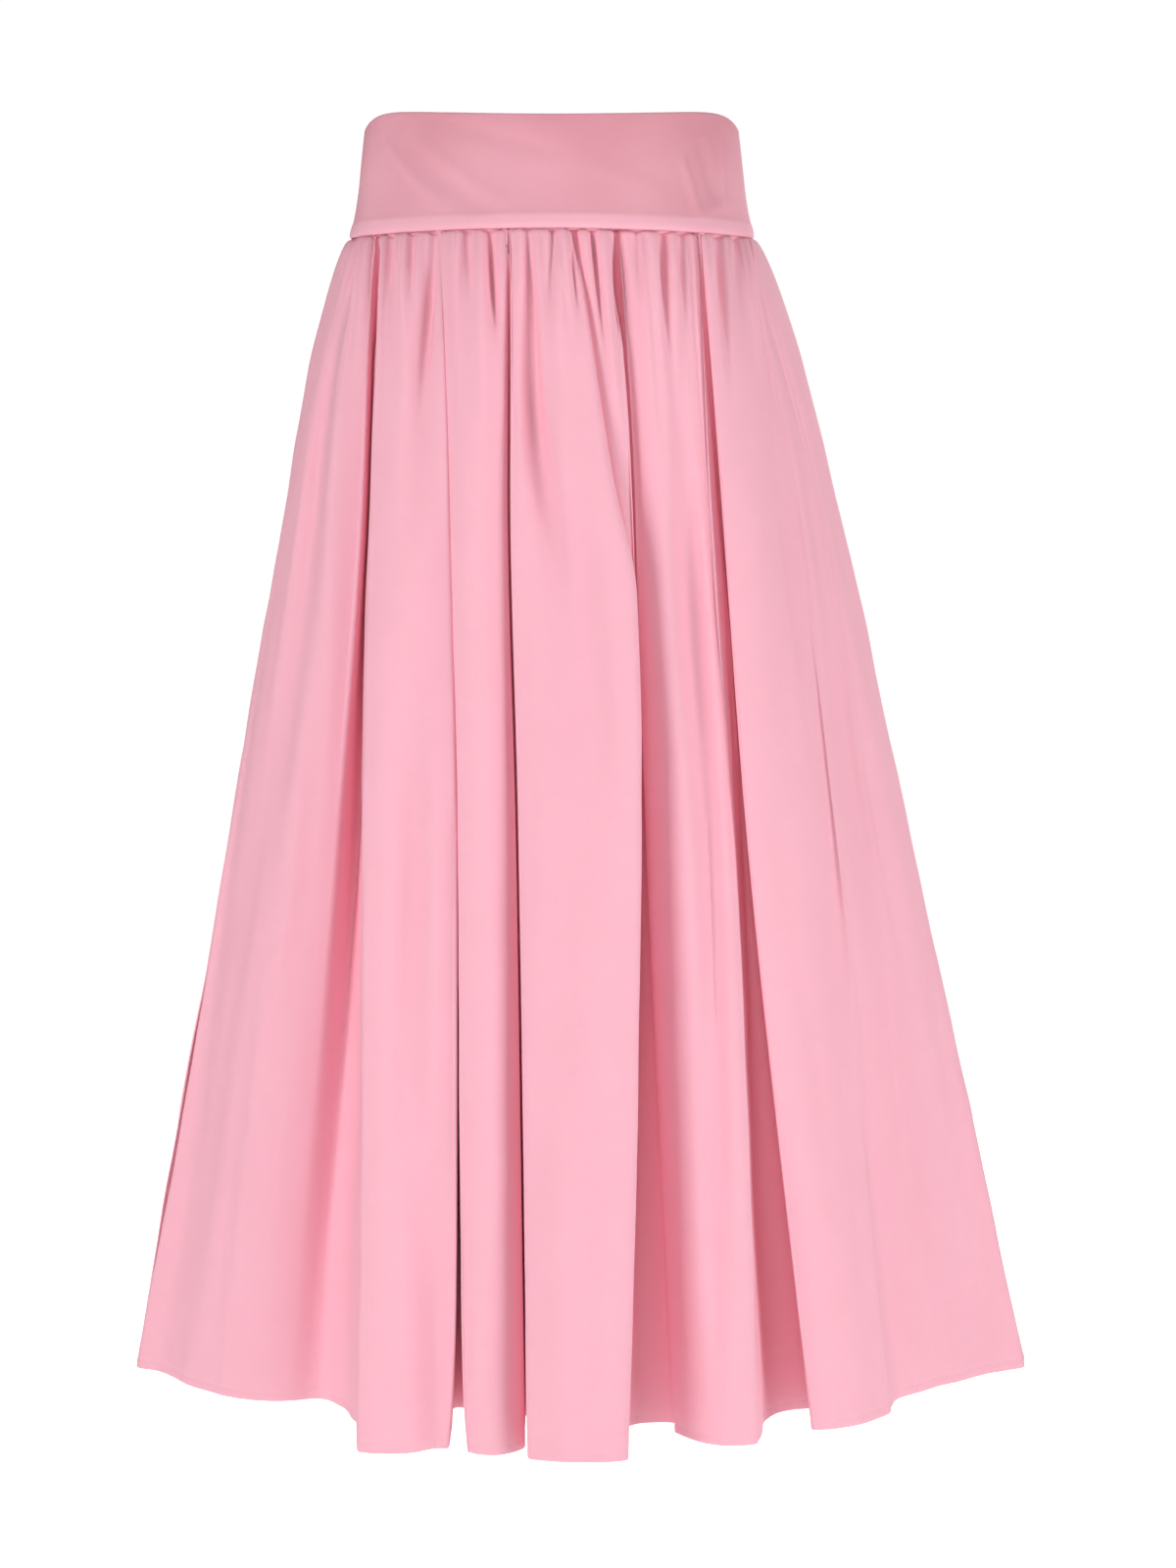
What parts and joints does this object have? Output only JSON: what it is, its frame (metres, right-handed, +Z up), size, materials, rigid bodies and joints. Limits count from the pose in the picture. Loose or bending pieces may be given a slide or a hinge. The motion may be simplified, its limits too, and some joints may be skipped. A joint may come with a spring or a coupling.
{
  "type": "pleated skirt",
  "caption": "Gathered midi skirt with a wide fitted waistband, soft unpressed folds and a turned hem, filled out as if worn.",
  "frame": {"origin": "middle of the waist opening, at the height of the band's top edge at centre front", "axes": "+Z up along the hanging skirt, -Y out of the front, +X to the right as seen from the front"},
  "size_m": [0.629, 0.4286, 0.8682],
  "materials": {
    "pink_cloth": "smooth woven cotton, matt with a faint sheen",
    "pink_tape": "fine knitted zip tape, matt",
    "pink_metal": "satin enamel"
  },
  "bodies": {
    "skirt": {"front_panel": "pink_cloth", "back_right_panel": "pink_cloth", "back_left_panel": "pink_cloth", "band_front": "pink_cloth", "band_back_right": "pink_cloth", "band_back_left": "pink_cloth", "zip_tape": "pink_tape", "zip_slider": "pink_metal"},
    "pull": {"zip_pull": "pink_metal"}
  },
  "joints": [
    {"name": "pull_hinge", "type": "hinge", "parent": "skirt", "child": "pull", "pos_m": [0, 0.09827, -0.01087], "axis": [1, 0, 0], "range_deg": [0, 150]}
  ]
}
